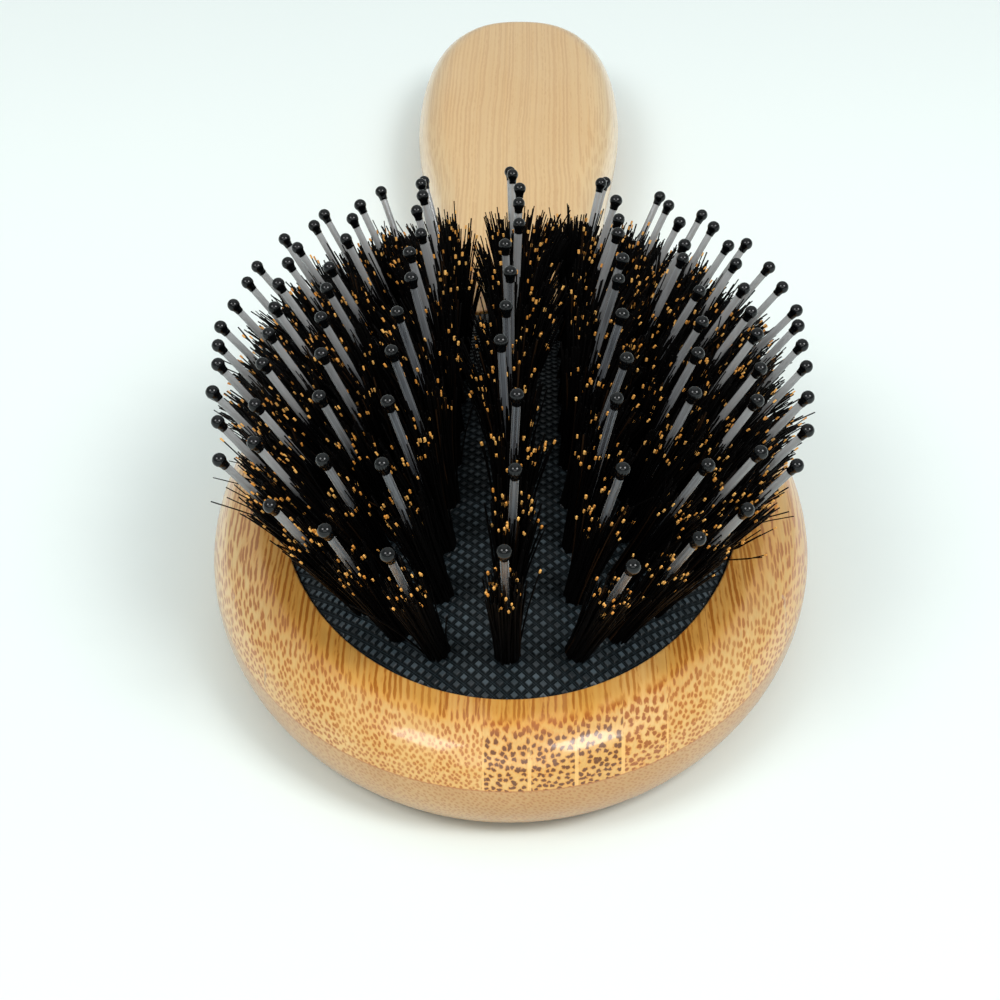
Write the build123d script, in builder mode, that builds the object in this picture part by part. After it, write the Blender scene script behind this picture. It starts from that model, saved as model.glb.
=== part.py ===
from build123d import *
import math
import os
import random

# Oval cushion brush of laminated bamboo, with an air cushion of rubber and mixed boar and nylon tufts.
# It lies on its back with the bristles up. +Z is up and +Y runs from the head's round tip to the handle's end.
# The origin is under the middle of the whole brush, on the surface it lies on. All sizes are in millimetres.

# Wooden body
LENGTH = 227.5
THICKNESS = 12.6
BACK_PLY_THICKNESS = 7.2
FRONT_ROUNDING = 5.7
BACK_ROUNDING = 6.8
HEAD_HALF_WIDTH = 34.0
HEAD_TIP_LENGTH = 52.0
HEAD_SHOULDER = 38.0
NECK_HALF_WIDTH = 12.5
NECK_FROM_HEAD = 74.0
NECK_EASE_HEAD = 32.0
NECK_EASE_HANDLE = 24.0
HANDLE_HALF_WIDTH = 16.7
HANDLE_END_LENGTH = 41.0
HANDLE_END_FULLNESS = 0.72
STRIP_COUNT = 15
HANDLE_SIDE_STRIP = 3

# Pocket that the cushion snaps into: an oval cut through the front ply, wider where it meets the back ply
POCKET_HALF_WIDTH = 26.0
POCKET_HALF_LENGTH = 45.1
POCKET_FROM_HEAD = 1.0
GROOVE_DEPTH = 1.2
GROOVE_TOP = 9.2
WELL_HALF_WIDTH = 25.0
WELL_DEPTH = 0.8

# Rubber air cushion
CUSHION_GAP = 0.1
CUSHION_EDGE_HEIGHT = 12.0
CUSHION_CROWN = 8.2
CUSHION_WALL = 1.4
CUSHION_SKIRT = 1.6
CUSHION_LIP = 1.0

# Tufts: nylon pin with a ball tip, ringed by boar bristles, held by an anchor behind the rubber
TUFTS_IN_COLUMN = (12, 12, 11, 11, 10)
COLUMN_HALF_LENGTH = (40.2, 39.2, 36.0, 31.2, 24.6)
COLUMN_FROM_MIDDLE = (0.0, 6.6, 12.0, 16.6, 20.6)
FIELD_HALF_WIDTH = 22.6
FIELD_HALF_LENGTH = 41.2
FIELD_FROM_HEAD = 1.6
FAN_DEPTH = 25.5
END_LEAN = 0.53
END_LEAN_LENGTH = 40.0
SIDE_LEAN_WIDTH = 20.0
HAND_SET_SCATTER = 0.055
SCATTER_SEED = 20
TUFT_ROOT = 2.0
PIN_RADIUS = 0.42
PIN_LENGTH = 18.2
BALL_CENTRE = 19.0
BALL_RADIUS = 0.7
BALL_NECK_LENGTH = 1.2
BALL_NECK_RADIUS = 0.52
BALL_NECK_JOIN = 0.5
BALL_FIT = 0.02
BRISTLE_LENGTH = 13.2
BRISTLE_ROOT_RADIUS = 0.95
BRISTLE_TOP_RADIUS = 1.2
BRISTLE_BORE = 0.46
TUFT_HOLE_RADIUS = 1.2
TUFT_HOLE_DEPTH = 8.0
ANCHOR_RADIUS = 1.1
ANCHOR_THICKNESS = 0.8
ANCHOR_SLACK = 0.4

HEAD_Y = HEAD_TIP_LENGTH - LENGTH / 2
NECK_Y = HEAD_Y + NECK_FROM_HEAD
HANDLE_END_Y = LENGTH / 2
HANDLE_WIDEST_Y = HANDLE_END_Y - HANDLE_END_LENGTH
POCKET_Y = HEAD_Y + POCKET_FROM_HEAD
FIELD_Y = HEAD_Y + FIELD_FROM_HEAD
POCKET_ASPECT = POCKET_HALF_LENGTH / POCKET_HALF_WIDTH
STRIP_WIDTH = 2 * HEAD_HALF_WIDTH / STRIP_COUNT
CUSHION_HALF_WIDTH = POCKET_HALF_WIDTH - CUSHION_GAP
DOME_RADIUS = (CUSHION_HALF_WIDTH**2 + CUSHION_CROWN**2) / (2 * CUSHION_CROWN)
DOME_CENTRE_Z = CUSHION_EDGE_HEIGHT + CUSHION_CROWN - DOME_RADIUS
GROOVE_HALF_WIDTH = POCKET_HALF_WIDTH + GROOVE_DEPTH
LIP_BOTTOM = BACK_PLY_THICKNESS + CUSHION_GAP
LIP_TOP = GROOVE_TOP - CUSHION_GAP


def save(name, part):
    part.label = name
    export_step(part, f"parts/{name}.step")


def dome_height(x, y):
    """Height of the cushion's outer surface."""
    across = math.hypot(x, (y - POCKET_Y) / POCKET_ASPECT)
    return DOME_CENTRE_Z + math.sqrt(DOME_RADIUS**2 - across**2)


def column_x(step, y):
    """Columns bow outward in the middle and draw in towards the ends, inside an oval field."""
    half_length = COLUMN_HALF_LENGTH[step]
    end_x = FIELD_HALF_WIDTH * math.sqrt(1 - (half_length / FIELD_HALF_LENGTH) ** 2) if step else 0.0
    middle_x = COLUMN_FROM_MIDDLE[step]
    return middle_x - (middle_x - end_x) * (y / half_length) ** 2


def tuft_at(x, y, scatter):
    """Plane on the cushion whose normal is the tuft's axis, leaning outward. y is from the field's middle."""
    lean_x = x / FAN_DEPTH + scatter.uniform(-HAND_SET_SCATTER, HAND_SET_SCATTER)
    lean_y = END_LEAN * (y / END_LEAN_LENGTH) ** 3 * (1 + (x / SIDE_LEAN_WIDTH) ** 2)
    lean_y += scatter.uniform(-HAND_SET_SCATTER, HAND_SET_SCATTER)
    return Plane(origin=(x, y + FIELD_Y, dome_height(x, y + FIELD_Y)), z_dir=(lean_x, lean_y, 1))


def tuft_column(number):
    """Planes of the tufts in column 1 to 9, from the head's tip to its neck. Column 5 is the middle one."""
    side = number - 5
    step = abs(side)
    scatter = random.Random(SCATTER_SEED + number)
    count = TUFTS_IN_COLUMN[step]
    half_length = COLUMN_HALF_LENGTH[step]
    tufts = []
    for index in range(count):
        y = half_length * (2 * index / (count - 1) - 1)
        x = math.copysign(column_x(step, y), side) if side else 0.0
        tufts.append(tuft_at(x, y, scatter))
    return tufts


os.makedirs("parts", exist_ok=True)
columns = {number: tuft_column(number) for number in range(1, 10)}
all_tufts = [tuft for column in columns.values() for tuft in column]

# Body blank: one outline for both plies, rounded all round

with BuildPart() as blank:
    with BuildSketch():
        with BuildLine():
            EllipticalCenterArc((0, HEAD_Y), HEAD_HALF_WIDTH, HEAD_TIP_LENGTH, start_angle=270, arc_size=90)
            Bezier(
                (HEAD_HALF_WIDTH, HEAD_Y),
                (HEAD_HALF_WIDTH, HEAD_Y + HEAD_SHOULDER),
                (NECK_HALF_WIDTH, NECK_Y - NECK_EASE_HEAD),
                (NECK_HALF_WIDTH, NECK_Y),
            )
            Bezier(
                (NECK_HALF_WIDTH, NECK_Y),
                (NECK_HALF_WIDTH, NECK_Y + NECK_EASE_HANDLE),
                (HANDLE_HALF_WIDTH, HANDLE_WIDEST_Y - NECK_EASE_HANDLE),
                (HANDLE_HALF_WIDTH, HANDLE_WIDEST_Y),
            )
            Bezier(
                (HANDLE_HALF_WIDTH, HANDLE_WIDEST_Y),
                (HANDLE_HALF_WIDTH, HANDLE_WIDEST_Y + HANDLE_END_FULLNESS * HANDLE_END_LENGTH),
                (HANDLE_END_FULLNESS * HANDLE_HALF_WIDTH, HANDLE_END_Y),
                (0, HANDLE_END_Y),
            )
            mirror(about=Plane.YZ)
        make_face()
    extrude(amount=THICKNESS)
    fillet(blank.edges().group_by(Axis.Z)[-1], radius=FRONT_ROUNDING)
    fillet(blank.edges().group_by(Axis.Z)[0], radius=BACK_ROUNDING)

# Back ply: one board, with a shallow well under the cushion that keeps it clear of the pressed-in anchors

with BuildPart() as back_ply:
    add(blank.part)
    split(bisect_by=Plane.XY.offset(BACK_PLY_THICKNESS), keep=Keep.BOTTOM)
    with BuildSketch(Plane.XY.offset(BACK_PLY_THICKNESS - WELL_DEPTH)):
        with Locations((0, POCKET_Y)):
            Ellipse(WELL_HALF_WIDTH, WELL_HALF_WIDTH * POCKET_ASPECT)
    extrude(amount=THICKNESS, mode=Mode.SUBTRACT)
save("back_ply", back_ply.part)

# Front ply: glued up from narrow strips and cut through for the cushion, so the middle strips carry on beyond
# the pocket as a short piece at the tip. In the handle the third strip from the middle is the last one, and
# takes in the whole side.

with BuildPart() as front_ply:
    add(blank.part)
    split(bisect_by=Plane.XY.offset(BACK_PLY_THICKNESS), keep=Keep.TOP)
    with BuildSketch():
        with Locations((0, POCKET_Y)):
            Ellipse(POCKET_HALF_WIDTH, POCKET_HALF_LENGTH)
    extrude(amount=THICKNESS, mode=Mode.SUBTRACT)
    with BuildSketch():
        with Locations((0, POCKET_Y)):
            Ellipse(GROOVE_HALF_WIDTH, GROOVE_HALF_WIDTH * POCKET_ASPECT)
    extrude(amount=GROOVE_TOP, mode=Mode.SUBTRACT)

for index in range(STRIP_COUNT):
    offset = index - STRIP_COUNT // 2
    with BuildSketch() as slab:
        with Locations((offset * STRIP_WIDTH, 0)):
            Rectangle(STRIP_WIDTH, 2 * LENGTH)
        with Locations((math.copysign(HANDLE_HALF_WIDTH, offset), NECK_Y)):
            if abs(offset) == HANDLE_SIDE_STRIP:
                Rectangle(STRIP_WIDTH, LENGTH, align=(Align.CENTER, Align.MIN))
            if abs(offset) > HANDLE_SIDE_STRIP:
                Rectangle(2 * HEAD_HALF_WIDTH, LENGTH, align=(Align.CENTER, Align.MIN), mode=Mode.SUBTRACT)
    with BuildPart() as strip:
        add(front_ply.part)
        extrude(slab.sketch, amount=THICKNESS, mode=Mode.INTERSECT)
    save(f"front_strip_{index + 1:02d}", strip.part)

# Cushion: domed rubber shell with a skirt and a lip that snaps into the pocket's groove

with BuildPart() as cushion_shell:
    with BuildSketch(Plane.XZ):
        with BuildLine():
            outer_edge = (CUSHION_HALF_WIDTH, CUSHION_EDGE_HEIGHT)
            crown = (0, DOME_CENTRE_Z + DOME_RADIUS)
            inner_crown = (0, DOME_CENTRE_Z + DOME_RADIUS - CUSHION_WALL)
            skirt_x = CUSHION_HALF_WIDTH - CUSHION_SKIRT
            skirt_top = (skirt_x, DOME_CENTRE_Z + math.sqrt((DOME_RADIUS - CUSHION_WALL) ** 2 - skirt_x**2))
            lip_x = CUSHION_HALF_WIDTH + CUSHION_LIP
            RadiusArc(crown, outer_edge, DOME_RADIUS)
            Polyline(
                outer_edge,
                (CUSHION_HALF_WIDTH, LIP_TOP),
                (lip_x, LIP_TOP),
                (lip_x, LIP_BOTTOM),
                (skirt_x, LIP_BOTTOM),
                skirt_top,
            )
            RadiusArc(skirt_top, inner_crown, -(DOME_RADIUS - CUSHION_WALL))
            Line(inner_crown, crown)
        make_face()
    revolve(axis=Axis.Z)
    scale(by=(1, POCKET_ASPECT, 1))

with BuildPart() as cushion:
    with Locations((0, POCKET_Y, 0)):
        add(cushion_shell.part)
    with Locations(*all_tufts):
        Cylinder(TUFT_HOLE_RADIUS, TUFT_HOLE_DEPTH, mode=Mode.SUBTRACT)
save("cushion", cushion.part)

# One of each small piece of a tuft, standing on the cushion's surface at the origin

with BuildPart() as pin:
    with BuildSketch(Plane.XY.offset(-TUFT_ROOT)):
        Circle(PIN_RADIUS)
    extrude(amount=TUFT_ROOT + PIN_LENGTH)

with BuildPart() as ball_tip:
    with Locations((0, 0, BALL_CENTRE)):
        Sphere(BALL_RADIUS)
    with BuildSketch(Plane.XY.offset(BALL_CENTRE - BALL_NECK_LENGTH)):
        Circle(BALL_NECK_RADIUS)
    with BuildSketch(Plane.XY.offset(BALL_CENTRE - BALL_RADIUS * BALL_NECK_JOIN)):
        Circle(BALL_RADIUS * math.sqrt(1 - BALL_NECK_JOIN**2))
    loft()
    with BuildSketch():
        Circle(PIN_RADIUS + BALL_FIT)
    extrude(amount=PIN_LENGTH + BALL_FIT, mode=Mode.SUBTRACT)

with BuildPart() as bristle_bundle:
    with BuildSketch(Plane.XY.offset(-TUFT_ROOT)):
        Circle(BRISTLE_ROOT_RADIUS)
    extrude(amount=TUFT_ROOT)
    with BuildSketch():
        Circle(BRISTLE_ROOT_RADIUS)
    with BuildSketch(Plane.XY.offset(BRISTLE_LENGTH)):
        Circle(BRISTLE_TOP_RADIUS)
    loft()
    with BuildSketch(Plane.XY.offset(-TUFT_ROOT)):
        Circle(BRISTLE_BORE)
    extrude(amount=TUFT_ROOT + BRISTLE_LENGTH, mode=Mode.SUBTRACT)

with BuildPart() as anchor:
    with BuildSketch(Plane.XY.offset(-TUFT_ROOT - ANCHOR_SLACK)):
        Circle(ANCHOR_RADIUS)
    extrude(amount=-ANCHOR_THICKNESS)

tuft_pieces = {
    "tuft_anchors": anchor.part,
    "pins": pin.part,
    "ball_tips": ball_tip.part,
    "bristles": bristle_bundle.part,
}
for number, tufts in columns.items():
    for piece_name, piece in tuft_pieces.items():
        with BuildPart() as column:
            with Locations(*tufts):
                add(piece)
        save(f"{piece_name}_column_{number}", column.part)
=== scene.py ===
import math
import random

import bmesh
import bpy
import numpy as np
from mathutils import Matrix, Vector


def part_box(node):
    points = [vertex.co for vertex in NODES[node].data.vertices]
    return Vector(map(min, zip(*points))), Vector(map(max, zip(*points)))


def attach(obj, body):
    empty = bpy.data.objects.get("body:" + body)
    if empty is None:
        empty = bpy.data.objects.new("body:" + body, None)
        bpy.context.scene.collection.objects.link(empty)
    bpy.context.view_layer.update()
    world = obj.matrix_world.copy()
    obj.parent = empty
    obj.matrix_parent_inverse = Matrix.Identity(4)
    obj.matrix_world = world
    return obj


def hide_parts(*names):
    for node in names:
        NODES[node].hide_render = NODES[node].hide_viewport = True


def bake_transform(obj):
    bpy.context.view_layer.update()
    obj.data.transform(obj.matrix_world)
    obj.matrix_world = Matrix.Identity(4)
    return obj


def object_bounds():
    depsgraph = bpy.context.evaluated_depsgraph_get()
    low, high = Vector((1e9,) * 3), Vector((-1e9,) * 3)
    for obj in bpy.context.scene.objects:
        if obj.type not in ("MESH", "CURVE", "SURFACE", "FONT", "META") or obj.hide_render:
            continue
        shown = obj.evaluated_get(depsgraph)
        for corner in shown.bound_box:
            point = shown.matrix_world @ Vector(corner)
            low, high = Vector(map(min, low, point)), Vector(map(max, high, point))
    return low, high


# The visual model of a bamboo cushion brush: wood, woven rubber, bristle tufts, floor, lights and camera.
# Everything is in metres, in the frame of the CAD.

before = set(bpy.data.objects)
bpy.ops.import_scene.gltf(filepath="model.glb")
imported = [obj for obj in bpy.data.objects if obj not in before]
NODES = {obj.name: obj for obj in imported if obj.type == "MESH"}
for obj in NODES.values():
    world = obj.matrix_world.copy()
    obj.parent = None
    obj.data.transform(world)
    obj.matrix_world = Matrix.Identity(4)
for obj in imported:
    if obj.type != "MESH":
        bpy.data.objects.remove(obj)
CAD_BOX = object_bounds()
MM = 0.001

# Wooden body
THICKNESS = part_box("front_strip_08")[1].z
PLY_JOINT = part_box("back_ply")[1].z
HALF_LENGTH = CAD_BOX[1].y
HEAD_HALF_WIDTH = 34.0 * MM
HEAD_TIP_LENGTH = 52.0 * MM
HEAD_Y = HEAD_TIP_LENGTH - HALF_LENGTH
HEAD_SHOULDER = 38.0 * MM
NECK_HALF_WIDTH = 12.5 * MM
NECK_Y = HEAD_Y + 74.0 * MM
NECK_EASE_HEAD = 32.0 * MM
NECK_EASE_HANDLE = 24.0 * MM
HANDLE_HALF_WIDTH = 16.7 * MM
HANDLE_END_LENGTH = 41.0 * MM
HANDLE_END_FULLNESS = 0.72
FRONT_ROUNDING = 5.7 * MM
BACK_ROUNDING = 6.8 * MM
OUTLINE_STEP = 0.8 * MM
STRIP_COUNT = 15
STRIP_WIDTH = 2 * HEAD_HALF_WIDTH / STRIP_COUNT
COARSE_STRIPS = (0, 3)  # first and last with coarse bundles, counted to the right from the middle strip
RING_GAP = 0.01 * MM  # no ring of the rounded side is nearer than this to a flat face
CURVE_POINTS = 240
ROUNDING_STEPS = 15
EDGE_STEPS = 5
OVAL_SIDES = 360

# Pocket and cushion
CUSHION_LOW, CUSHION_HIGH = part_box("cushion")
POCKET_Y = (CUSHION_LOW.y + CUSHION_HIGH.y) / 2
ASPECT = (CUSHION_HIGH.y - CUSHION_LOW.y) / (CUSHION_HIGH.x - CUSHION_LOW.x)
POCKET_HALF_WIDTH = 26.0 * MM
POCKET_EDGE = 0.3 * MM
WELL_HALF_WIDTH = 25.0 * MM
WELL_DEPTH = 0.8 * MM
PRESS_TRAVEL = 3.2 * MM
RIM_CLEARANCE = 0.6 * MM
CUSHION_HALF_WIDTH = 25.9 * MM
CUSHION_EDGE_Z = 12.0 * MM
CROWN = CUSHION_HIGH.z - CUSHION_EDGE_Z
DOME_RADIUS = (CUSHION_HALF_WIDTH**2 + CROWN**2) / (2 * CROWN)
DOME_CENTRE_Z = CUSHION_HIGH.z - DOME_RADIUS
WEAVE_PITCH = 1.01 * MM
WEAVE_HEIGHT = 0.2 * MM
WEAVE_SEED = 11
WEAVE_LINES = ((0.0, 0.0), (0.17, 0.0), (0.3, 1.0), (0.74, 1.0), (0.87, 0.0))  # place in a cell, and raised
DIMPLE_DEPTH = 0.2 * MM
DIMPLE_RADIUS = 1.5 * MM
SKIRT_SIDES = 240

# Tufts
COLUMNS = range(1, 10)
MIDDLE_COLUMN = 5
PIN_BELOW_SURFACE = 2.0 * MM
BALL_HEIGHT = 19.0 * MM
BALL_RADIUS = 0.74 * MM
BALL_SIDES = 28
BALL_RINGS = 16
BALL_SEED = 100
HAIRS_PER_TUFT = 165
HAIR_RADIUS = 0.09 * MM
HAIR_LENGTH = 13.4 * MM
HAIR_FOOT_DEPTH = 0.8 * MM
HAIR_STEPS = 5
HAIR_SIDES = 4
HAIR_SEED = 500
HAIR_MARKS = (0, 0.2, 0.4, 0.6, 0.8, 0.97, 0.98, 1.0)
GOLDEN_FROM = 0.975
GOLDEN_SHARE = 0.2

# Stage
FLOOR_HALF_WIDTH = 4.0
WORLD_STRENGTH = 0.5
CAMERA_LENS = 78.9
CAMERA_SENSOR = 36
CAMERA_PLACE = (1.86 * MM, HEAD_Y - 220.25 * MM, 135.84 * MM)
CAMERA_TILT = math.radians(60.19)
CAMERA_TURN = math.radians(0.82)


def dome_height(x, y):
    """Height of the cushion at a point, y being the frame's own."""
    across = np.hypot(x, (y - POCKET_Y) / ASPECT)
    return DOME_CENTRE_Z + np.sqrt(np.maximum(DOME_RADIUS**2 - across**2, 0))


# ---------------------------------------------------------------- materials


class Shader:
    """Short ways to add and join nodes of one material."""

    def __init__(self, name):
        self.material = bpy.data.materials.new(name)
        self.material.use_nodes = True
        self.tree = self.material.node_tree
        self.bsdf = self.tree.nodes["Principled BSDF"]

    def add(self, kind, **settings):
        node = self.tree.nodes.new(kind)
        for key, value in settings.items():
            setattr(node, key, value)
        return node

    def put(self, value, socket):
        """Joins an output to a socket, or sets the socket to a constant."""
        if isinstance(value, bpy.types.NodeSocket):
            self.tree.links.new(value, socket)
        else:
            socket.default_value = value

    def math(self, operation, a, b=0.0):
        node = self.add("ShaderNodeMath", operation=operation)
        for value, socket in zip((a, b), node.inputs):
            self.put(value, socket)
        return node.outputs[0]

    def plus(self, a, b):
        return self.math("ADD", a, b)

    def minus(self, a, b):
        return self.math("SUBTRACT", a, b)

    def times(self, a, b):
        return self.math("MULTIPLY", a, b)

    def apart(self, a, b):
        """Distance between two values."""
        return self.math("ABSOLUTE", self.minus(a, b))

    def position(self):
        """X, Y and Z of the surface point in the frame, which is also every object's own."""
        split = self.add("ShaderNodeSeparateXYZ")
        self.put(self.add("ShaderNodeTexCoord").outputs["Object"], split.inputs[0])
        return split.outputs

    def point(self, x, y, z):
        node = self.add("ShaderNodeCombineXYZ")
        for value, socket in zip((x, y, z), node.inputs):
            self.put(value, socket)
        return node.outputs[0]

    def stretched(self, x, y, z, scales):
        """Point with each coordinate multiplied by its own scale."""
        return self.point(*(self.times(value, scale) for value, scale in zip((x, y, z), scales)))

    def attribute(self, name):
        return self.add("ShaderNodeAttribute", attribute_name=name).outputs["Fac"]

    def noise(self, vector, scale, detail=2.0):
        node = self.add("ShaderNodeTexNoise")
        self.put(vector, node.inputs["Vector"])
        node.inputs["Scale"].default_value = scale
        node.inputs["Detail"].default_value = detail
        return node.outputs["Fac"]

    def cells(self, vector, scale, randomness):
        """Distance to the nearest of scattered points, in a plane."""
        node = self.add("ShaderNodeTexVoronoi", voronoi_dimensions="2D")
        self.put(vector, node.inputs["Vector"])
        node.inputs["Scale"].default_value = scale
        node.inputs["Randomness"].default_value = randomness
        return node.outputs["Distance"]

    def white(self, value):
        """A fixed random number for each value."""
        node = self.add("ShaderNodeTexWhiteNoise", noise_dimensions="1D")
        self.put(value, node.inputs["W"])
        return node.outputs["Value"]

    def remap(self, value, low, high, to_low=0.0, to_high=1.0):
        """Smooth step from one range to another, flat outside it. Low may be the higher of the two."""
        node = self.add("ShaderNodeMapRange", interpolation_type="SMOOTHSTEP", clamp=True)
        for item, socket in zip((value, low, high, to_low, to_high), node.inputs):
            self.put(item, socket)
        return node.outputs[0]

    def mix(self, factor, a, b):
        node = self.add("ShaderNodeMix", data_type="RGBA", blend_type="MIX")
        self.put(factor, node.inputs["Factor"])
        self.put(a, node.inputs[6])
        self.put(b, node.inputs[7])
        return node.outputs[2]

    def bump(self, height, strength, distance):
        node = self.add("ShaderNodeBump")
        node.inputs["Strength"].default_value = strength
        node.inputs["Distance"].default_value = distance
        self.put(height, node.inputs["Height"])
        self.put(node.outputs[0], self.bsdf.inputs["Normal"])

    def set(self, **values):
        """Sets the main shader's inputs and returns the material."""
        for key, value in values.items():
            self.put(value, self.bsdf.inputs[key.replace("_", " ")])
        return self.material


def srgb(red, green, blue):
    """Screen colour, 0 to 255, as the linear colour a shader takes."""
    def linear(value):
        value /= 255
        return value / 12.92 if value <= 0.04045 else ((value + 0.055) / 1.055) ** 2.4
    return (linear(red), linear(green), linear(blue), 1.0)


def slanted(s, x, z, degrees, stretch):
    """Point in the wood's cross-section, turned so that rows of cells slant and stretched along the rows."""
    cosine, sine = math.cos(math.radians(degrees)), math.sin(math.radians(degrees))
    along = s.plus(s.times(x, cosine / stretch), s.times(z, sine / stretch))
    across = s.minus(s.times(z, cosine), s.times(x, sine))
    return s.point(along, across, 0.0)


def bundle_ends(s, section, pitch, core, halo):
    """Ends of the fibre bundles: a dark core in a softer halo. Core and halo are shares of the pitch."""
    distance = s.cells(section, 1 / pitch, 0.7)
    return s.remap(distance, core * 1.3, core * 0.75), s.remap(distance, halo, core)


def strip_number(s):
    """Place across the wood in strip widths, and the number of the strip there, 0 being the middle one."""
    place = s.plus(s.math("DIVIDE", s.position()[0], STRIP_WIDTH), 0.5)
    return place, s.math("FLOOR", place)


def wandering(s, shift):
    """X with a slow wander, so that streaks are never ruled lines. A shift gives a strip its own grain."""
    x, y, z = s.position()
    slow = s.noise(s.stretched(x, y, z, (60, 30, 60)), 1.0)
    wander = s.times(s.minus(slow, 0.5), 1.6 * MM)
    return s.plus(s.plus(x, shift), wander)


def ragged(s, value, seed, amount):
    """Adds a small noise, which breaks the roundness of cells drawn with the value."""
    x, y, z = s.position()
    noise = s.noise(s.point(s.plus(x, seed), s.times(y, 0.2), z), 2600)
    return s.plus(value, s.times(s.minus(noise, 0.5), amount))


def bare_wood(s, across, tone, light, middle, fibre):
    """Wood between the bundles: clouds of two colours and very fine threads."""
    x, y, z = s.position()
    cloud = s.noise(s.point(x, s.times(y, 0.25), z), 90, 3)
    ground = s.mix(s.remap(cloud, 0.35, 0.65), light, middle)
    ground = s.mix(s.remap(tone, 0.0, 1.0, 0.0, 0.4), ground, middle)
    threads = s.noise(s.stretched(across, y, z, (3600, 45, 2600)), 1)
    return s.mix(s.remap(threads, 0.35, 0.75, 0.0, 0.2), ground, fibre), cloud, threads


def finish_bamboo(s, colour, cloud, threads, core):
    """What both plies share: the glue line between them, a little relief and the varnish."""
    seam = s.remap(s.apart(s.position()[2], PLY_JOINT), 0.13 * MM, 0.04 * MM)
    colour = s.mix(s.times(seam, 0.55), colour, srgb(168, 100, 50))
    s.bump(s.minus(s.times(threads, 0.4), core), 0.12, 0.05 * MM)
    return s.set(Base_Color=colour, Roughness=s.remap(cloud, 0.2, 0.8, 0.3, 0.42),
                 Coat_Weight=0.65, Coat_Roughness=0.12, Specular_IOR_Level=0.45)


def coarse_share(s, strip):
    """1 on the rounded front of the strips that have coarse bundles, fading out at the flat top."""
    _, y, z = s.position()
    first, last = COARSE_STRIPS
    inside = s.times(s.math("GREATER_THAN", strip, first - 0.5), s.math("LESS_THAN", strip, last + 0.5))
    share = s.times(inside, s.remap(z, THICKNESS - 0.02 * MM, THICKNESS - 0.3 * MM))
    return s.times(share, s.math("LESS_THAN", y, HEAD_Y))


def front_bamboo():
    """Edge-glued strips. Fibre bundles run along Y: they show as dots across Y and as streaks along it."""
    s = Shader("bamboo_front")
    _, y, z = s.position()
    place, strip = strip_number(s)
    across = wandering(s, s.times(s.white(s.plus(strip, 7.7)), 0.05))
    fibre = srgb(164, 92, 22)
    light, middle = srgb(226, 190, 126), srgb(212, 166, 92)
    colour, cloud, threads = bare_wood(s, across, s.white(s.plus(strip, 0.37)), light, middle, fibre)

    # The handle is paler and quieter than the head, and the flat top more amber than the rounded side.
    patchy = s.noise(s.stretched(across, y, z, (300, 35, 120)), 1)
    on_head = s.remap(y, HEAD_Y + 45 * MM, HEAD_Y + 75 * MM, 1.0, 0.22)
    strength = s.times(s.remap(patchy, 0.3, 0.6, 0.6, 1.0), on_head)
    colour = s.mix(s.remap(on_head, 1.0, 0.22, 0.0, 0.5), colour, srgb(240, 208, 160))
    flat_top = s.remap(z, THICKNESS - 0.8 * MM, THICKNESS - 0.1 * MM, 0.0, 0.36)
    colour = s.mix(s.times(flat_top, on_head), colour, srgb(232, 152, 26))

    # Fine bundles everywhere but on the coarse strips.
    across, height = ragged(s, across, 0.0, 0.26 * MM), ragged(s, z, 0.3, 0.26 * MM)
    fine_core, fine_halo = bundle_ends(s, slanted(s, across, height, -34, 1.15), 0.42 * MM, 0.31, 0.6)
    across, height = ragged(s, across, 0.7, 0.4 * MM), ragged(s, height, 0.9, 0.4 * MM)
    section = slanted(s, across, s.times(height, 1.25), -20, 1.1)
    coarse_core, coarse_halo = bundle_ends(s, section, 0.62 * MM, 0.32, 0.62)
    coarse = coarse_share(s, strip)
    plain = s.minus(1.0, coarse)
    fine_core, coarse_core = s.times(fine_core, plain), s.times(coarse_core, coarse)
    halo = s.plus(s.times(fine_halo, s.times(plain, 0.5)), s.times(coarse_halo, s.times(coarse, 0.75)))
    colour = s.mix(s.times(halo, strength), colour, srgb(208, 132, 46))
    colour = s.mix(s.times(fine_core, s.times(strength, 0.85)), colour, fibre)

    # Coarse bundles darken downward, least in the last of their strips.
    last = s.remap(strip, COARSE_STRIPS[1] - 1, COARSE_STRIPS[1], 1.0, 0.3)
    depth = s.times(s.remap(z, THICKNESS - 0.2 * MM, THICKNESS - 1.3 * MM), last)
    dark = s.mix(depth, srgb(164, 88, 26), srgb(84, 40, 12))
    colour = s.mix(s.times(coarse_core, 0.9), colour, dark)

    # A band without bundles on both sides of each glue joint, clearest low down on the coarse strips.
    skin = s.remap(s.apart(s.math("FRACT", place), 0.5), 0.45, 0.47)
    low_down = s.remap(z, THICKNESS - 1.2 * MM, THICKNESS - 2.6 * MM, 0.1, 0.85)
    bare = s.plus(s.times(coarse, low_down), s.times(plain, 0.12))
    colour = s.mix(s.times(skin, bare), colour, srgb(232, 182, 108))
    return finish_bamboo(s, colour, cloud, threads, s.math("MAXIMUM", fine_core, coarse_core))


def back_bamboo():
    """One board with fine bundles in slanting rows."""
    s = Shader("bamboo_back")
    across = wandering(s, 0.011)
    fibre = srgb(160, 100, 46)
    light, middle = srgb(198, 158, 104), srgb(186, 143, 88)
    colour, cloud, threads = bare_wood(s, across, 0.5, light, middle, fibre)
    across, height = ragged(s, across, 0.0, 0.15 * MM), ragged(s, s.position()[2], 0.3, 0.15 * MM)
    core, halo = bundle_ends(s, slanted(s, across, height, -36, 1.5), 0.35 * MM, 0.29, 0.58)
    colour = s.mix(s.times(halo, 0.2), colour, srgb(196, 136, 74))
    colour = s.mix(s.times(core, 0.5), colour, fibre)
    return finish_bamboo(s, colour, cloud, threads, core)


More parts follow.
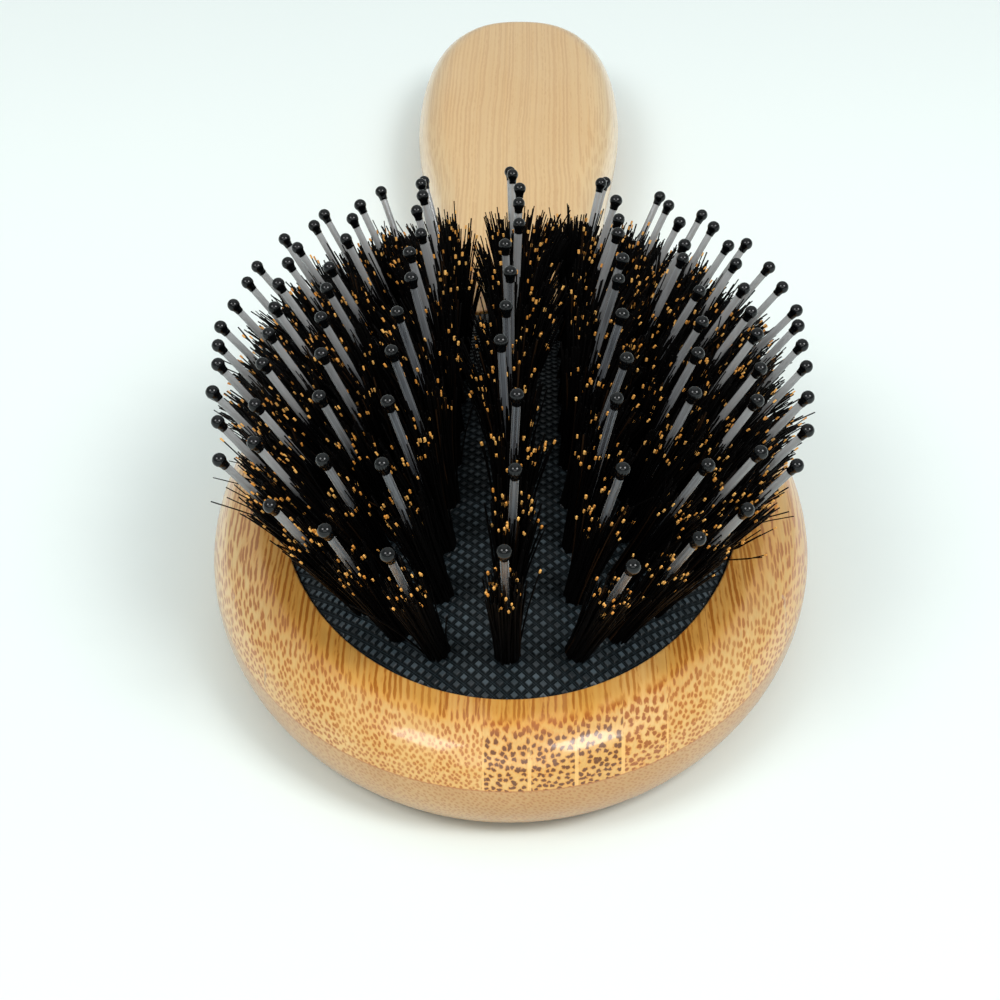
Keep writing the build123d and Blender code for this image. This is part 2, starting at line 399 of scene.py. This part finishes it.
def woven_rubber():
    """The attribute on the mesh is 1 on top of the raised squares and 0 between them. Light and shade on the
    weave are painted into the colour.
    """
    s = Shader("cushion_rubber")
    x, y, z = s.position()
    here = s.point(x, y, z)
    raised = s.attribute("raised")
    blotch = s.noise(here, 260, 3)
    # Painted light: the higher a square stands, the lighter its top, mixed with blotches of random tone.
    lit = s.plus(s.remap(raised, 0.72, 1.1, 0.0, 0.7), s.remap(blotch, 0.3, 0.7, 0.0, 0.3))
    # Painted shade toward the back, where the hairs shade the rubber.
    lit = s.times(lit, s.remap(y, HEAD_Y - 25 * MM, HEAD_Y + 5 * MM, 1.0, 0.4))
    top = s.mix(lit, srgb(12, 18, 21), srgb(60, 73, 80))
    # Painted shade between the raised squares, which are nearly black there.
    colour = s.mix(s.remap(raised, 0.2, 0.7), srgb(8, 13, 15), top)

    # Painted shade: near-black lines run in both directions along the gaps between the squares, each with a
    # paler line beside it.
    along = s.minus(y, POCKET_Y)
    for diagonal, strength in ((s.plus(along, x), 0.9), (s.minus(along, x), 0.45)):
        cell = s.math("FRACT", s.times(diagonal, 1 / (WEAVE_PITCH * math.sqrt(2))))
        off = s.apart(cell, 0.48)
        beside = s.times(s.remap(off, 0.35, 0.39), s.remap(off, 0.45, 0.42))
        colour = s.mix(s.times(beside, strength * 0.4), colour, srgb(60, 72, 78))
        colour = s.mix(s.times(s.remap(off, 0.44, 0.47), strength), colour, srgb(2, 3, 4))
    grit = s.noise(here, 9000)
    s.bump(grit, 0.25, 0.03 * MM)
    return s.set(Base_Color=colour, Roughness=s.remap(grit, 0.3, 0.7, 0.36, 0.5),
                 Specular_IOR_Level=s.remap(raised, 0.3, 0.9, 0.1, 0.6))


def boar_hair():
    """Dark shafts, some with golden cut ends. The mesh says where it is golden and how pale each hair is."""
    s = Shader("boar_bristle")
    golden, tint = s.attribute("golden"), s.attribute("tint")
    shaft = s.mix(s.remap(tint, 0.93, 1.0), srgb(5, 4, 4), srgb(40, 26, 14))
    gold = s.mix(tint, srgb(214, 138, 52), srgb(250, 190, 104))
    colour = s.mix(s.remap(golden, 0.4, 0.6), shaft, gold)
    shine = s.remap(golden, 0.4, 0.6, 0.06, 0.3)
    return s.set(Base_Color=colour, Roughness=0.5, Specular_IOR_Level=shine)


def smoky_nylon():
    """Grey see-through pins with stripes along them and pale edges, partly painted reflections; painted light
    makes them paler at the back and the sides, and painted shade makes them dark at the foot.
    """
    s = Shader("nylon_pin")
    x, y, z = s.position()
    streak = s.noise(s.stretched(x, y, z, (3, 3, 0.1)), 300, 1)
    facing = s.add("ShaderNodeLayerWeight").outputs["Facing"]
    middle = s.mix(s.remap(streak, 0.35, 0.65), srgb(78, 80, 84), srgb(108, 111, 116))
    # Painted reflection: the edges of each pin, seen at a glancing angle, are pale.
    colour = s.mix(s.remap(facing, 0.35, 0.8), middle, srgb(206, 206, 206))
    # Painted reflections: a light and a dark stripe along each pin.
    for centre, width, tone in ((0.3, 0.1, srgb(156, 161, 167)), (0.6, 0.12, srgb(40, 43, 48))):
        painted_reflection_stripe = s.remap(s.apart(facing, centre), width, width * 0.4)
        colour = s.mix(s.times(painted_reflection_stripe, 0.6), colour, tone)
    # Painted light where the pale floor shows through the pins, at the back and at the sides.
    side = s.remap(s.math("ABSOLUTE", x), 13 * MM, 24 * MM)
    lit = s.math("MAXIMUM", s.remap(y, HEAD_Y - 10 * MM, HEAD_Y + 24 * MM), side)
    colour = s.mix(s.times(lit, 0.6), colour, srgb(214, 213, 212))
    # Painted shade low on each pin, where the hairs surround it.
    colour = s.mix(s.remap(z, 31 * MM, 19 * MM, 0.0, 0.8), colour, srgb(44, 42, 42))
    return s.set(Base_Color=colour, Roughness=s.remap(streak, 0.3, 0.7, 0.1, 0.18),
                 Transmission_Weight=0.45, Specular_IOR_Level=0.8, IOR=1.45)


def dipped_black():
    """Glossy black with a slightly uneven surface."""
    s = Shader("ball_tip")
    here = s.point(*s.position())
    cloud = s.noise(here, 1200)
    colour = s.mix(cloud, srgb(2, 3, 4), srgb(8, 10, 12))
    s.bump(s.noise(here, 1500, 1), 0.04, 0.02 * MM)
    return s.set(Base_Color=colour, Roughness=s.remap(cloud, 0.3, 0.7, 0.02, 0.05), Specular_IOR_Level=0.36)


def hidden_plastic():
    """Plain grey of the anchors inside the cushion."""
    s = Shader("tuft_anchor")
    speckle = s.noise(s.point(*s.position()), 3000)
    colour = s.mix(speckle, srgb(120, 120, 118), srgb(150, 150, 146))
    s.bump(speckle, 0.2, 0.05 * MM)
    return s.set(Base_Color=colour, Roughness=0.5)


def pale_floor():
    """Nearly white, with painted shade that makes it a little greyer in front."""
    s = Shader("floor")
    x, y, z = s.position()
    cloud = s.noise(s.point(x, y, z), 3)
    colour = s.mix(cloud, srgb(240, 248, 246), srgb(246, 252, 250))
    # Painted shade: greyer in front, which tones down the light of the front lamps there.
    colour = s.mix(s.remap(y, 0.1, -0.15), colour, srgb(232, 241, 239))
    return s.set(Base_Color=colour, Roughness=0.75, Specular_IOR_Level=0.2)


FRONT_WOOD = front_bamboo()
BACK_WOOD = back_bamboo()
RUBBER = woven_rubber()
HAIR = boar_hair()
NYLON = smoky_nylon()
BLACK = dipped_black()
ANCHOR = hidden_plastic()


# ---------------------------------------------------------------- shared mesh helpers


def new_piece(name, mesh, material, body, replaced):
    """Links a mesh as a piece that stands for a CAD node and rides on a body, unless no body is given."""
    piece = bpy.data.objects.new(name, mesh)
    bpy.context.scene.collection.objects.link(piece)
    mesh.materials.append(material)
    if body:
        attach(piece, body)
    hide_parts(replaced)
    return piece


def smooth_by_angle(mesh, degrees):
    """Smooth shading, with sharp edges where faces meet at more than an angle."""
    mesh.shade_smooth()
    mesh.set_sharp_from_angle(angle=math.radians(degrees))


def mesh_from(name, vertices, faces):
    mesh = bpy.data.meshes.new(name)
    mesh.from_pydata([tuple(v) for v in vertices], [], [tuple(f) for f in faces])
    mesh.update()
    return mesh


def tube_faces(base, rows, sides):
    """Quads between rings of vertices that are stored one after the other from index base."""
    faces = []
    for low in range(base, base + (rows - 1) * sides, sides):
        for k in range(sides):
            j = (k + 1) % sides
            faces.append((low + k, low + j, low + sides + j, low + sides + k))
    return faces


def store(mesh, name, values):
    """Stores one number on each vertex, for a material to read."""
    mesh.attributes.new(name, "FLOAT", "POINT").data.foreach_set("value", np.array(values, np.float32))


# ---------------------------------------------------------------- wooden body


def bezier(points, t):
    """Points of a cubic curve at each value of t."""
    a, b, c, d = (np.array(p)[None, :] for p in points)
    t = t[:, None]
    return a * (1 - t) ** 3 + 3 * b * t * (1 - t) ** 2 + 3 * c * t**2 * (1 - t) + d * t**3


def right_outline():
    """Right half of the outline, from the head's tip to the handle's end."""
    t = np.linspace(0, 1, CURVE_POINTS)
    angle = (t - 1) * math.pi / 2
    front = np.stack([HEAD_HALF_WIDTH * np.cos(angle), HEAD_Y + HEAD_TIP_LENGTH * np.sin(angle)], axis=1)
    widest = HALF_LENGTH - HANDLE_END_LENGTH
    fullness = HANDLE_END_FULLNESS
    shoulder = bezier([(HEAD_HALF_WIDTH, HEAD_Y), (HEAD_HALF_WIDTH, HEAD_Y + HEAD_SHOULDER),
                       (NECK_HALF_WIDTH, NECK_Y - NECK_EASE_HEAD), (NECK_HALF_WIDTH, NECK_Y)], t)
    swell = bezier([(NECK_HALF_WIDTH, NECK_Y), (NECK_HALF_WIDTH, NECK_Y + NECK_EASE_HANDLE),
                    (HANDLE_HALF_WIDTH, widest - NECK_EASE_HANDLE), (HANDLE_HALF_WIDTH, widest)], t)
    end = bezier([(HANDLE_HALF_WIDTH, widest), (HANDLE_HALF_WIDTH, widest + fullness * HANDLE_END_LENGTH),
                  (fullness * HANDLE_HALF_WIDTH, HALF_LENGTH), (0, HALF_LENGTH)], t)
    return np.concatenate([front, shoulder[1:], swell[1:], end[1:]])


def closed_outline():
    """Evenly spaced points anticlockwise round the whole outline, with outward normals."""
    right = right_outline()
    left = right[-2:0:-1] * np.array([-1, 1])
    loop = np.concatenate([right, left, right[:1]])
    length = np.concatenate([[0], np.cumsum(np.hypot(*np.diff(loop, axis=0).T))])
    count = int(length[-1] / OUTLINE_STEP)
    at = np.linspace(0, length[-1], count, endpoint=False)
    points = np.stack([np.interp(at, length, loop[:, 0]), np.interp(at, length, loop[:, 1])], axis=1)
    along = np.roll(points, -2, axis=0) - np.roll(points, 2, axis=0)
    along /= np.hypot(*along.T)[:, None]
    return points, np.stack([along[:, 1], -along[:, 0]], axis=1)


def side_inset(z):
    """How far in from the outline the rounded side is at a height."""
    below = max(BACK_ROUNDING - z, 0)
    above = max(z - (THICKNESS - FRONT_ROUNDING), 0)
    back = BACK_ROUNDING - math.sqrt(max(BACK_ROUNDING**2 - below**2, 0))
    return back + FRONT_ROUNDING - math.sqrt(max(FRONT_ROUNDING**2 - above**2, 0))


def side_profile(low, high):
    """Inset and height of the rounded side between two heights, from the bottom up."""
    angles = np.linspace(0, math.pi / 2, ROUNDING_STEPS)
    heights = [BACK_ROUNDING * (1 - math.sin(a)) for a in angles[::-1]]
    heights += [THICKNESS - FRONT_ROUNDING * (1 - math.sin(a)) for a in angles]
    inside = [z for z in heights if low + RING_GAP < z < high - RING_GAP]
    return [(side_inset(z), z) for z in [low] + inside + [high]]


def ring(bm, points, height):
    """Loop of vertices at one height."""
    return [bm.verts.new((x, y, height)) for x, y in points]


def bridge(bm, lower, upper):
    """Quads between two loops with the same number of vertices."""
    count = len(lower)
    for i in range(count):
        j = (i + 1) % count
        bm.faces.new((lower[i], lower[j], upper[j], upper[i]))


def loop_edges(bm, loop):
    """Edges round a loop that already has faces on one side."""
    return [bm.edges.get((loop[i], loop[(i + 1) % len(loop)])) for i in range(len(loop))]


def side_rings(bm, low, high):
    """Rounded side of a ply between two heights, as rings from the bottom up."""
    points, normals = closed_outline()
    rings = [ring(bm, points - normals * inset, z) for inset, z in side_profile(low, high)]
    for lower, upper in zip(rings, rings[1:]):
        bridge(bm, lower, upper)
    return rings


def pocket_oval(half_width, grow=0.0):
    """Oval in the pocket's proportions, made larger all round by grow."""
    angle = np.linspace(0, 2 * math.pi, OVAL_SIDES, endpoint=False)
    return np.stack([(half_width + grow) * np.cos(angle),
                     POCKET_Y + (half_width * ASPECT + grow) * np.sin(angle)], axis=1)


def pocket_rings(bm):
    """Rounded rim and wall of the pocket, from the top surface down to the back ply."""
    rings = []
    for a in np.linspace(0, math.pi / 2, EDGE_STEPS):
        points = pocket_oval(POCKET_HALF_WIDTH, POCKET_EDGE * (1 - math.sin(a)))
        rings.append(ring(bm, points, THICKNESS - POCKET_EDGE * (1 - math.cos(a))))
    rings.append(ring(bm, points, PLY_JOINT))
    for upper, lower in zip(rings, rings[1:]):
        bridge(bm, upper, lower)
    return rings


def finish_wood(bm, name, material, replaced):
    """Makes a piece of the wooden body from a closed shape."""
    bmesh.ops.recalc_face_normals(bm, faces=bm.faces)
    mesh = bpy.data.meshes.new(name)
    bm.to_mesh(mesh)
    smooth_by_angle(mesh, 40)
    piece = new_piece(name, mesh, material, "body", replaced)
    piece.modifiers.new("flat faces stay flat", "WEIGHTED_NORMAL").keep_sharp = True


def fill_between(bm, outer, inner):
    """Flat face from an outer loop to the hole inside it."""
    bmesh.ops.triangle_fill(bm, use_beauty=True, edges=loop_edges(bm, outer) + loop_edges(bm, inner))


def build_back_ply():
    """The back board, with a shallow well under the cushion that the pressed tufts sink into."""
    bm = bmesh.new()
    rings = side_rings(bm, 0.0, PLY_JOINT)
    bm.faces.new(rings[0][::-1])
    well = [ring(bm, pocket_oval(WELL_HALF_WIDTH), z) for z in (PLY_JOINT, PLY_JOINT - WELL_DEPTH)]
    bridge(bm, *well)
    fill_between(bm, rings[-1], well[0])
    bm.faces.new(well[-1])
    finish_wood(bm, "bamboo_back_ply", BACK_WOOD, "back_ply")
    bm.free()


def front_ply_mesh():
    """The whole front ply with the pocket through it, before it is cut into strips."""
    bm = bmesh.new()
    sides = side_rings(bm, PLY_JOINT, THICKNESS)
    pocket = pocket_rings(bm)
    fill_between(bm, sides[-1], pocket[0])
    fill_between(bm, sides[0], pocket[-1])
    return bm


def cut_off(bm, x, direction):
    """Cuts away what lies beyond x in a direction and closes the cut."""
    parts = bm.verts[:] + bm.edges[:] + bm.faces[:]
    cut = bmesh.ops.bisect_plane(bm, geom=parts, plane_co=(x, 0, 0), plane_no=(direction, 0, 0),
                                 clear_outer=True)
    edges = [e for e in cut["geom_cut"] if isinstance(e, bmesh.types.BMEdge)]
    bmesh.ops.edgenet_fill(bm, edges=edges)


def build_strips():
    """The front ply as edge-glued strips, each cut from the same rounded shape."""
    whole = front_ply_mesh()
    for index in range(STRIP_COUNT):
        left = (index - STRIP_COUNT / 2) * STRIP_WIDTH
        bm = whole.copy()
        if index > 0:
            cut_off(bm, left, -1)
        if index < STRIP_COUNT - 1:
            cut_off(bm, left + STRIP_WIDTH, 1)
        number = f"{index + 1:02d}"
        finish_wood(bm, f"bamboo_strip_{number}", FRONT_WOOD, f"front_strip_{number}")
        bm.free()
    whole.free()


# ---------------------------------------------------------------- tufts


def islands(mesh):
    """Points of each separate solid in a mesh."""
    bm = bmesh.new()
    bm.from_mesh(mesh)
    bmesh.ops.remove_doubles(bm, verts=bm.verts, dist=0.001 * MM)
    left, found = set(bm.verts), []
    while left:
        island, front = [], [left.pop()]
        while front:
            vertex = front.pop()
            island.append(vertex.co[:])
            near = {e.other_vert(vertex) for e in vertex.link_edges} & left
            left -= near
            front.extend(near)
        found.append(np.array(island))
    bm.free()
    return found


def tuft_axes(number):
    """Root on the cushion and direction of each tuft in a column, read from the CAD pins."""
    tufts = []
    for points in islands(NODES[f"pins_column_{number}"].data):
        middle = (points.min(0) + points.max(0)) / 2
        direction = np.linalg.svd(points - points.mean(0))[2][0]
        direction *= math.copysign(1, direction[2])
        height = (points - middle) @ direction
        low = points[height < height.min() + 0.1 * MM].mean(0)
        tufts.append((low + direction * PIN_BELOW_SURFACE, direction))
    return sorted(tufts, key=lambda tuft: tuft[0][1])


def across_axes(direction):
    """Two axes at right angles to a direction."""
    side = np.cross(direction, (0.0, 1.0, 0.0))
    side /= np.linalg.norm(side)
    return side, np.cross(direction, side)


def ball_profile():
    """Radius and height of the dipped tip, from the foot of its neck to the top of the ball."""
    neck_mm = [(0.43, -1.12), (0.48, -1.08), (0.49, -0.8)]
    radius = BALL_RADIUS / MM
    ball_mm = [(radius * math.cos(a), radius * math.sin(a)) for a in np.linspace(-0.72, 1.45, BALL_RINGS)]
    return [(r * MM, BALL_HEIGHT + h * MM) for r, h in neck_mm + ball_mm]


def build_balls(number, tufts):
    """All ball tips of a column, each a turned profile, very slightly out of round."""
    profile = ball_profile()
    vertices, faces = [], []
    rng = random.Random(BALL_SEED + number)
    for root, direction in tufts:
        u, v = across_axes(direction)
        base = len(vertices)
        squeeze = rng.uniform(0.95, 1.04)
        for radius, height in profile:
            for k in range(BALL_SIDES):
                a = 2 * math.pi * k / BALL_SIDES
                off = u * math.cos(a) * squeeze + v * math.sin(a)
                vertices.append(root + direction * height + off * radius)
        faces += tube_faces(base, len(profile), BALL_SIDES)
        top = len(vertices)
        vertices.append(root + direction * (BALL_HEIGHT + BALL_RADIUS))
        last = top - BALL_SIDES
        faces.extend((last + k, last + (k + 1) % BALL_SIDES, top) for k in range(BALL_SIDES))
        faces.append(tuple(base + k for k in range(BALL_SIDES))[::-1])
    mesh = mesh_from(f"balls_{number}", vertices, faces)
    smooth_by_angle(mesh, 50)
    body, replaced = f"tufts_column_{number}", f"ball_tips_column_{number}"
    new_piece(f"dipped_tips_{number}", mesh, BLACK, body, replaced)


def clear_of_rim(point):
    """Draws a low point of a hair in, so that it clears the rim when the cushion is pressed right down."""
    x, y, z = point
    reach = math.hypot(x, (y - POCKET_Y) / ASPECT)
    above = z - THICKNESS - PRESS_TRAVEL
    limit = POCKET_HALF_WIDTH - RIM_CLEARANCE + max(0.0, 2 * above - 1.0 * MM)
    if reach <= limit:
        return point
    shrink = limit / reach
    return np.array([x * shrink, POCKET_Y + (y - POCKET_Y) * shrink, z])


def hair_path(root, direction, rng, spread, stray):
    """Centre line of one hair: it leaves the knot, splays outward and bends a little."""
    u, v = across_axes(direction)
    angle = rng.uniform(0, 2 * math.pi)
    out = u * math.cos(angle) + v * math.sin(angle)
    start_mm = 0.5 + 0.72 * rng.random() ** 0.6
    splay = rng.gauss(spread, 0.035) + (rng.uniform(0.1, 0.35) if stray else 0)
    bend = rng.gauss(0.0, 0.022)
    length = HAIR_LENGTH * (rng.uniform(0.6, 0.95) if stray else rng.gauss(0.93, 0.085))
    side = np.cross(direction, out)
    points = []
    for step in range(HAIR_STEPS + 1):
        t = step / HAIR_STEPS
        height = t * length
        points.append(root + direction * (height - HAIR_FOOT_DEPTH * (1 - t))
                      + out * (start_mm * MM + splay * height * (0.6 + 0.5 * t))
                      + side * bend * height * t)
    if stray:
        drop = rng.uniform(0.0, 0.06) * length
        points = [p - np.array([0, 0, drop * (i / HAIR_STEPS) ** 2]) for i, p in enumerate(points)]
    return [clear_of_rim(point) for point in points]


def stray_share(side, at_end):
    """Share of stray hairs in a tuft. Side counts columns out from the middle one."""
    if side > 2:
        return {3: 0.07, 4: 0.1}[side]
    return 0.02 if side == 2 and at_end else 0.004


def strand(path, radius, has_gold):
    """Corners of a tapering four-sided hair, ring by ring, and which of them are golden."""
    chord = path[-1] - path[0]
    u, v = across_axes(chord / np.linalg.norm(chord))
    near_end = [path[-2] * (1 - share) + path[-1] * share for share in (0.83, 0.87)]
    corners, golden = [], []
    for t, centre in zip(HAIR_MARKS, path[:-1] + near_end + path[-1:]):
        gold = has_gold and t > GOLDEN_FROM
        r = radius * (1.35 if gold else 1.15 - 0.3 * t)
        corners += [centre + off * r for off in (u, v, -u, -v)]
        golden += [float(gold)] * HAIR_SIDES
    return corners, golden


def build_hairs(number, tufts):
    """All boar hairs of a column. They stand neatly in front and splay toward the back."""
    rng = random.Random(HAIR_SEED + number)
    vertices, faces, golden, tint = [], [], [], []
    side = abs(number - MIDDLE_COLUMN)
    for index, (root, direction) in enumerate(tufts):
        strays = stray_share(side, index in (0, len(tufts) - 1))
        back = min(1.0, 2.5 * index / len(tufts))
        side_axis, _ = across_axes(direction)
        bundle = direction + side_axis * rng.gauss(0.0, 0.14 * back)
        bundle /= np.linalg.norm(bundle)
        spread = 0.03 + (0.19 if side < 2 else 0.12) * back
        golden_share = GOLDEN_SHARE * (1 - 0.35 * back)
        for _ in range(HAIRS_PER_TUFT):
            path = hair_path(root, bundle, rng, spread, rng.random() < strays)
            radius = HAIR_RADIUS * rng.uniform(0.75, 1.2)
            shade, has_gold = rng.random(), rng.random() < golden_share
            faces += tube_faces(len(vertices), len(HAIR_MARKS), HAIR_SIDES)
            corners, gold = strand(path, radius, has_gold)
            vertices += corners
            golden += gold
            tint += [shade] * len(corners)
            faces.append(tuple(range(len(vertices) - HAIR_SIDES, len(vertices))))
    mesh = mesh_from(f"hairs_{number}", vertices, faces)
    smooth_by_angle(mesh, 60)
    store(mesh, "golden", golden)
    store(mesh, "tint", tint)
    body, replaced = f"tufts_column_{number}", f"bristles_column_{number}"
    new_piece(f"boar_hairs_{number}", mesh, HAIR, body, replaced)


# ---------------------------------------------------------------- cushion


def weave_steps(reach):
    """Grid lines across the weave, with the raised part of every square between two of them."""
    first, last = math.floor(-reach / WEAVE_PITCH), math.ceil(reach / WEAVE_PITCH)
    cells = range(first, last)
    return np.array([((cell + part) * WEAVE_PITCH, level) for cell in cells for part, level in WEAVE_LINES])


def square_heights(size):
    """A number for each grid point, the same all over a square: some squares stand higher than others."""
    rng = np.random.default_rng(WEAVE_SEED)
    lines = len(WEAVE_LINES)
    count = size // lines + 1
    squares = rng.uniform(0.75, 1.1, (count, count))
    return np.repeat(np.repeat(squares, lines, 0), lines, 1)[:size, :size]


def woven_sheet():
    """Diagonal grid drawn in to the oval: X, Y and how raised each point is, and the cells in the oval."""
    lines = weave_steps(CUSHION_HALF_WIDTH * (1 + ASPECT) / math.sqrt(2))
    a, b = np.meshgrid(lines[:, 0], lines[:, 0], indexing="ij")
    level = np.minimum(*np.meshgrid(lines[:, 1], lines[:, 1], indexing="ij")) * square_heights(len(lines))
    x, y = (a - b) / math.sqrt(2), (a + b) / math.sqrt(2)
    across = np.hypot(x, y / ASPECT) / CUSHION_HALF_WIDTH
    outside = across > 1
    kept = ~(outside[:-1, :-1] & outside[1:, :-1] & outside[1:, 1:] & outside[:-1, 1:])
    scale = np.where(outside, 1 / np.maximum(across, 1e-9), 1)
    return x * scale, y * scale + POCKET_Y, np.where(outside, 0, level), kept


def dimples(x, y, tufts):
    """How far the rubber is drawn in round each tuft."""
    near = np.full(x.shape, np.inf)
    for root, _ in tufts:
        near = np.minimum(near, np.hypot(x - root[0], y - root[1]))
    return DIMPLE_DEPTH * np.exp(-((near / DIMPLE_RADIUS) ** 2))


def kept_quads(kept):
    """Faces of the kept cells of a grid, and the grid points that they use."""
    size = len(kept) + 1
    index = np.arange(size * size).reshape(size, size)
    corners = (index[:-1, :-1], index[1:, :-1], index[1:, 1:], index[:-1, 1:])
    quads = np.stack([corner[kept] for corner in corners], axis=1)
    used = np.unique(quads)
    renumber = np.zeros(size * size, int)
    renumber[used] = np.arange(len(used))
    return renumber[quads].tolist(), used


def cushion_skirt(base):
    """Side of the cushion below its edge, the lip at its foot and the underside, inside the pocket."""
    foot = CUSHION_LOW.z
    rows = [(1.0, CUSHION_EDGE_Z), (1.0, foot + 1.9 * MM), (1.03, foot + 1.8 * MM), (1.03, foot), (0.9, foot)]
    vertices = []
    for grow, height in rows:
        for k in range(SKIRT_SIDES):
            a = 2 * math.pi * k / SKIRT_SIDES
            r = CUSHION_HALF_WIDTH * grow
            vertices.append((r * math.cos(a), POCKET_Y + r * ASPECT * math.sin(a), height))
    faces = [(a, d, c, b) for a, b, c, d in tube_faces(base, len(rows), SKIRT_SIDES)]
    return np.array(vertices), faces


def build_cushion(tufts):
    """Domed rubber with a raised diagonal weave, dimpled where each tuft goes in."""
    x, y, level, kept = woven_sheet()
    z = dome_height(x, y) + level * WEAVE_HEIGHT - dimples(x, y, tufts)
    faces, used = kept_quads(kept)
    vertices = np.stack([x, y, z], axis=-1).reshape(-1, 3)[used]
    skirt_vertices, skirt_faces = cushion_skirt(len(vertices))
    mesh = mesh_from("cushion_mesh", np.concatenate([vertices, skirt_vertices]), faces + skirt_faces)
    smooth_by_angle(mesh, 25)
    store(mesh, "raised", np.concatenate([level.reshape(-1)[used], np.zeros(len(skirt_vertices))]))
    piece = new_piece("woven_rubber_cushion", mesh, RUBBER, None, "cushion")
    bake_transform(piece)


# ---------------------------------------------------------------- build everything


def paint_cad(prefix, material):
    """Gives a material to the CAD nodes that stay in the picture."""
    for name, node in NODES.items():
        if name.startswith(prefix):
            node.data.materials.clear()
            node.data.materials.append(material)


build_back_ply()
build_strips()
all_tufts = []
for number in COLUMNS:
    column = tuft_axes(number)
    all_tufts += column
    build_balls(number, column)
    build_hairs(number, column)
build_cushion(all_tufts)
paint_cad("pins_", NYLON)
paint_cad("tuft_anchors_", ANCHOR)

# ---------------------------------------------------------------- floor, lights and camera


def build_floor():
    """Table top under the brush, which is no piece of it."""
    far = FLOOR_HALF_WIDTH
    corners = [(-far, -far, 0), (far, -far, 0), (far, far, 0), (-far, far, 0)]
    mesh = mesh_from("floor", corners, [(0, 1, 2, 3)])
    floor = bpy.data.objects.new("floor", mesh)
    bpy.context.scene.collection.objects.link(floor)
    mesh.materials.append(pale_floor())


def softbox(name, place, target, size, power):
    """Rectangular lamp turned to a target."""
    light = bpy.data.lights.new(name, "AREA")
    light.shape, light.size, light.size_y = "RECTANGLE", size[0], size[1]
    light.energy = power
    lamp = bpy.data.objects.new(name, light)
    lamp.location = place
    lamp.rotation_euler = (Vector(target) - Vector(place)).to_track_quat("-Z", "Y").to_euler()
    bpy.context.scene.collection.objects.link(lamp)


def build_world():
    """Even, slightly cool light from all round."""
    world = bpy.data.worlds.new("studio")
    bpy.context.scene.world = world
    world.use_nodes = True
    background = world.node_tree.nodes["Background"]
    background.inputs["Color"].default_value = srgb(238, 247, 246)
    background.inputs["Strength"].default_value = WORLD_STRENGTH


def build_camera():
    """Low camera in front of the head's tip, looking along the brush."""
    camera = bpy.data.objects.new("camera", bpy.data.cameras.new("camera"))
    camera.data.lens, camera.data.sensor_width = CAMERA_LENS, CAMERA_SENSOR
    camera.data.clip_start = 10 * MM
    camera.location = CAMERA_PLACE
    camera.rotation_euler = (CAMERA_TILT, 0, CAMERA_TURN)
    bpy.context.scene.collection.objects.link(camera)
    bpy.context.scene.camera = camera


build_floor()
build_world()
build_camera()
softbox("overhead", (0.0, 0.1, 1.0), (0, 0, 0), (1.2, 1.2), 1.6)
softbox("front_fill", (0.0, -1.1, 0.55), (0, -0.1, 0), (1.0, 0.5), 2.3)
softbox("key_right", (0.43, -0.48, 0.64), (0, -0.11, 0), (0.34, 0.3), 3.8)
softbox("fill_left", (-0.45, -0.47, 0.63), (0, -0.11, 0), (0.36, 0.3), 2.45)
bpy.context.scene.view_settings.view_transform = "Standard"
